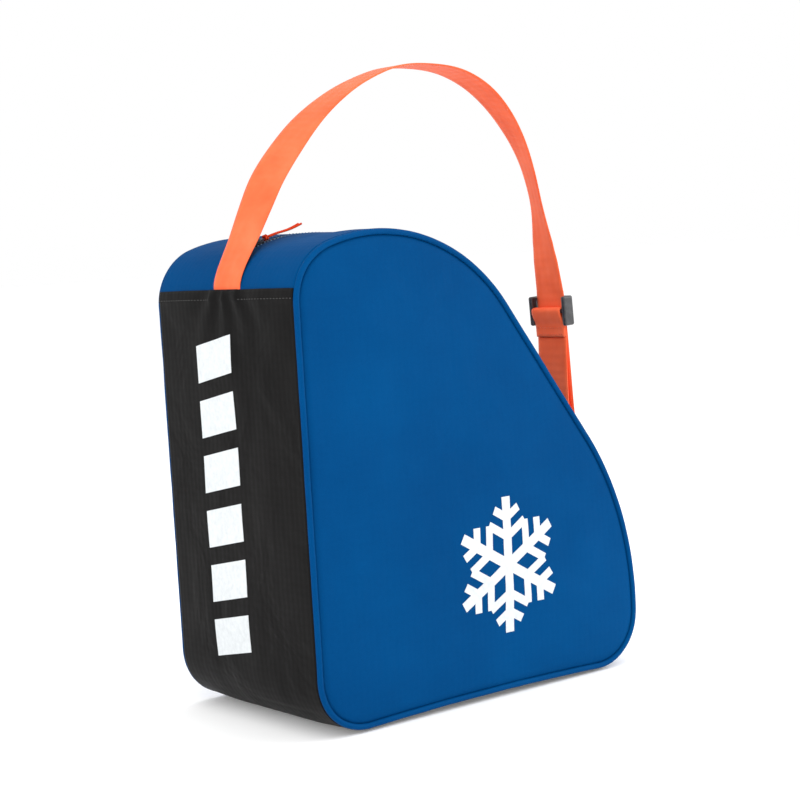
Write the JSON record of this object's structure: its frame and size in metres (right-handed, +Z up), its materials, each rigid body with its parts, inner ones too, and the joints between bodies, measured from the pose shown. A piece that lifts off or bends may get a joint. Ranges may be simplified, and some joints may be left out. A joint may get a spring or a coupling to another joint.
{
  "type": "boot bag",
  "caption": "Wedge-shaped soft boot bag with piped side panels, a zip over the crown and an adjustable webbing shoulder strap.",
  "frame": {"origin": "centre of the flat base, on the surface that the bag stands on", "axes": "+Z up, +X towards the toe (the sloped front), +Y towards the bag's left side"},
  "size_m": [0.3694, 0.2044, 0.5407],
  "materials": {
    "blue_fabric": "coated polyester, fine plain weave",
    "black_fabric": "coated black polyester, slight sheen",
    "blue_piping": "fabric-covered piping",
    "binding_tape": "ribbed binding tape",
    "zipper_tape": "woven zipper tape",
    "zipper_coil": "nylon coil",
    "dark_metal": "dark enamelled metal",
    "orange_cord": "braided cord",
    "orange_webbing": "ribbed polypropylene webbing",
    "black_plastic": "moulded acetal",
    "white_print": "heat-transfer film"
  },
  "bodies": {
    "root": {"heel_base_panel": "black_fabric", "toe_panel": "blue_fabric", "heel_print": "white_print", "zipper_stop_top": "dark_metal", "zipper_stop_bottom": "dark_metal", "strap_heel_end": "orange_webbing", "anchor_tab": "orange_webbing", "side_panel_left": "blue_fabric", "piping_left": "blue_piping", "gusset_strip_left": "blue_fabric", "seam_binding_left": "binding_tape", "zipper_tape_left": "zipper_tape", "zipper_coil_left": "zipper_coil", "side_print_left": "white_print", "side_panel_right": "blue_fabric", "piping_right": "blue_piping", "gusset_strip_right": "blue_fabric", "seam_binding_right": "binding_tape", "zipper_tape_right": "zipper_tape", "zipper_coil_right": "zipper_coil", "side_print_right": "white_print"},
    "mouth_left": {"side_rim_left": "blue_fabric", "piping_rim_left": "blue_piping", "gusset_lip_left": "blue_fabric", "seam_binding_rim_left": "binding_tape", "zipper_tape_lip_left": "zipper_tape", "zipper_coil_lip_left": "zipper_coil"},
    "mouth_right": {"side_rim_right": "blue_fabric", "piping_rim_right": "blue_piping", "gusset_lip_right": "blue_fabric", "seam_binding_rim_right": "binding_tape", "zipper_tape_lip_right": "zipper_tape", "zipper_coil_lip_right": "zipper_coil"},
    "slider": {"zipper_slider": "dark_metal"},
    "puller": {"slider_pull": "dark_metal", "pull_knot": "orange_cord", "pull_cord_left": "orange_cord", "pull_cord_right": "orange_cord"},
    "strap": {"strap_webbing": "orange_webbing", "strap_return_leg": "orange_webbing", "anchor_ring": "black_plastic"},
    "adjuster": {"strap_adjuster": "black_plastic", "strap_end_tab": "orange_webbing"}
  },
  "joints": [
    {"name": "mouth_left", "type": "hinge", "parent": "root", "child": "mouth_left", "pos_m": [-0.034, 0.1025, 0.37385], "axis": [-0.9229, 0, 0.385], "range_deg": [0, 40], "deforming": ["zipper_tape_lip_left", "zipper_coil_lip_left"]},
    {"name": "mouth_right", "type": "hinge", "parent": "root", "child": "mouth_right", "pos_m": [-0.034, -0.1025, 0.37385], "axis": [0.9229, 0, -0.385], "range_deg": [0, 40], "deforming": ["zipper_tape_lip_right", "zipper_coil_lip_right"]},
    {"name": "zipper_travel", "type": "hinge", "parent": "root", "child": "slider", "pos_m": [-0.0915, 0, 0.236], "axis": [0, 1, 0], "range_deg": [0, 64]},
    {"name": "puller_swing", "type": "hinge", "parent": "slider", "child": "puller", "pos_m": [-0.14014, 0, 0.39508], "axis": [0, 1, 0], "range_deg": [-45, 1]},
    {"name": "strap_swing", "type": "hinge", "parent": "root", "child": "strap", "pos_m": [-0.1405, 0, 0.421], "axis": [0.7884, 0, -0.6152], "range_deg": [-35, 35], "deforming": ["anchor_tab"]},
    {"name": "adjuster_slide", "type": "slide", "parent": "strap", "child": "adjuster", "axis": [0.0465, 0, -0.9989], "range_m": [0, 0.08], "deforming": ["strap_return_leg"]}
  ],
  "couplings": [
    {"joint": "mouth_right", "follows": "mouth_left", "ratio": 1},
    {"joint": "zipper_travel", "follows": "mouth_left", "ratio": 1.6}
  ]
}
